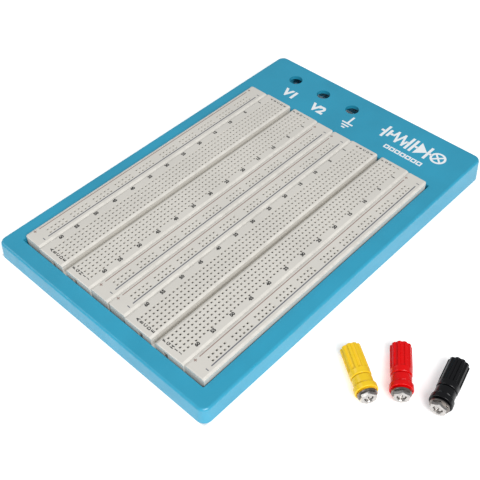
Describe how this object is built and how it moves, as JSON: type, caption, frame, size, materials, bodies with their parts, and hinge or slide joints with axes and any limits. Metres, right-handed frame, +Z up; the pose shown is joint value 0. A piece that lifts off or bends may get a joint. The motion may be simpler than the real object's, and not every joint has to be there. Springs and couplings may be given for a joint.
{
  "type": "solderless breadboard",
  "caption": "Solderless breadboard console: tie-point and bus strips with spring contacts in a sloping moulded tray with post holes, and loose screw-down binding posts beside it.",
  "frame": {"origin": "on the floor under the middle of the tray", "axes": "+X across the strips to the side where the posts lie, +Y from the low front edge to the high back edge with the post holes, +Z up"},
  "size_m": [0.2234, 0.2233, 0.0171],
  "materials": {
    "tray_plastic": "satin moulded ABS",
    "board_plastic": "moulded, warm off-white",
    "contact_metal": "nickel-plated phosphor bronze",
    "foam": "white foam tape",
    "foot_rubber": "black rubber",
    "nickel": "nickel plate",
    "spring_steel": "blackened",
    "brass": "turned",
    "yellow_plastic": "moulded",
    "red_plastic": "moulded",
    "black_plastic": "moulded"
  },
  "bodies": {
    "base": {"base_tray": "tray_plastic", "left_terminal_strip": "board_plastic", "left_terminal_clips_a_to_e": "contact_metal", "left_terminal_clips_f_to_j": "contact_metal", "left_board_left_bus_strip": "board_plastic", "left_board_left_bus_rails": "contact_metal", "left_board_right_bus_strip": "board_plastic", "left_board_right_bus_rails": "contact_metal", "left_adhesive_pad": "foam", "right_terminal_strip": "board_plastic", "right_terminal_clips_a_to_e": "contact_metal", "right_terminal_clips_f_to_j": "contact_metal", "right_board_left_bus_strip": "board_plastic", "right_board_left_bus_rails": "contact_metal", "right_board_right_bus_strip": "board_plastic", "right_board_right_bus_rails": "contact_metal", "right_adhesive_pad": "foam", "front_left_rubber_foot": "foot_rubber", "front_right_rubber_foot": "foot_rubber", "back_left_rubber_foot": "foot_rubber", "back_right_rubber_foot": "foot_rubber"},
    "yellow_post": {"yellow_post_stud": "nickel", "yellow_post_collar": "yellow_plastic", "yellow_post_lock_washer": "spring_steel", "yellow_post_hex_nut": "nickel"},
    "yellow_knob_nut": {"yellow_post_knob_insert": "brass"},
    "yellow_knob": {"yellow_post_knob": "yellow_plastic"},
    "red_post": {"red_post_stud": "nickel", "red_post_collar": "red_plastic", "red_post_lock_washer": "spring_steel", "red_post_hex_nut": "nickel"},
    "red_knob_nut": {"red_post_knob_insert": "brass"},
    "red_knob": {"red_post_knob": "red_plastic"},
    "black_post": {"black_post_stud": "nickel", "black_post_collar": "black_plastic", "black_post_lock_washer": "spring_steel", "black_post_hex_nut": "nickel"},
    "black_knob_nut": {"black_post_knob_insert": "brass"},
    "black_knob": {"black_post_knob": "black_plastic"}
  },
  "joints": [
    {"name": "yellow_post_lift", "type": "slide", "parent": "base", "child": "yellow_post", "axis": [0, 0, 1], "range_m": [0, 0.06]},
    {"name": "yellow_knob_travel", "type": "slide", "parent": "yellow_post", "child": "yellow_knob_nut", "axis": [-0.8192, 0.5736, 0], "range_m": [0, 0.005]},
    {"name": "yellow_knob_turn", "type": "hinge", "parent": "yellow_knob_nut", "child": "yellow_knob", "pos_m": [0.10487, -0.04378, 0.0055], "axis": [-0.8192, 0.5736, 0], "range_deg": [0, 2400.01]},
    {"name": "red_post_lift", "type": "slide", "parent": "base", "child": "red_post", "axis": [0, 0, 1], "range_m": [0, 0.06]},
    {"name": "red_knob_travel", "type": "slide", "parent": "red_post", "child": "red_knob_nut", "axis": [-0.5864, 0.81, 0], "range_m": [0, 0.005]},
    {"name": "red_knob_turn", "type": "hinge", "parent": "red_knob_nut", "child": "red_knob", "pos_m": [0.11903, -0.0294, 0.0055], "axis": [-0.5864, 0.81, 0], "range_deg": [0, 2400.01]},
    {"name": "black_post_lift", "type": "slide", "parent": "base", "child": "black_post", "axis": [0, 0, 1], "range_m": [0, 0.06]},
    {"name": "black_knob_travel", "type": "slide", "parent": "black_post", "child": "black_knob_nut", "axis": [-0.2267, 0.974, 0], "range_m": [0, 0.005]},
    {"name": "black_knob_turn", "type": "hinge", "parent": "black_knob_nut", "child": "black_knob", "pos_m": [0.14026, -0.0209, 0.0055], "axis": [-0.2267, 0.974, 0], "range_deg": [0, 2400.01]}
  ],
  "couplings": [
    {"joint": "yellow_knob_turn", "follows": "yellow_knob_travel", "rad_per_m": 8377.6},
    {"joint": "red_knob_turn", "follows": "red_knob_travel", "rad_per_m": 8377.6},
    {"joint": "black_knob_turn", "follows": "black_knob_travel", "rad_per_m": 8377.6}
  ]
}
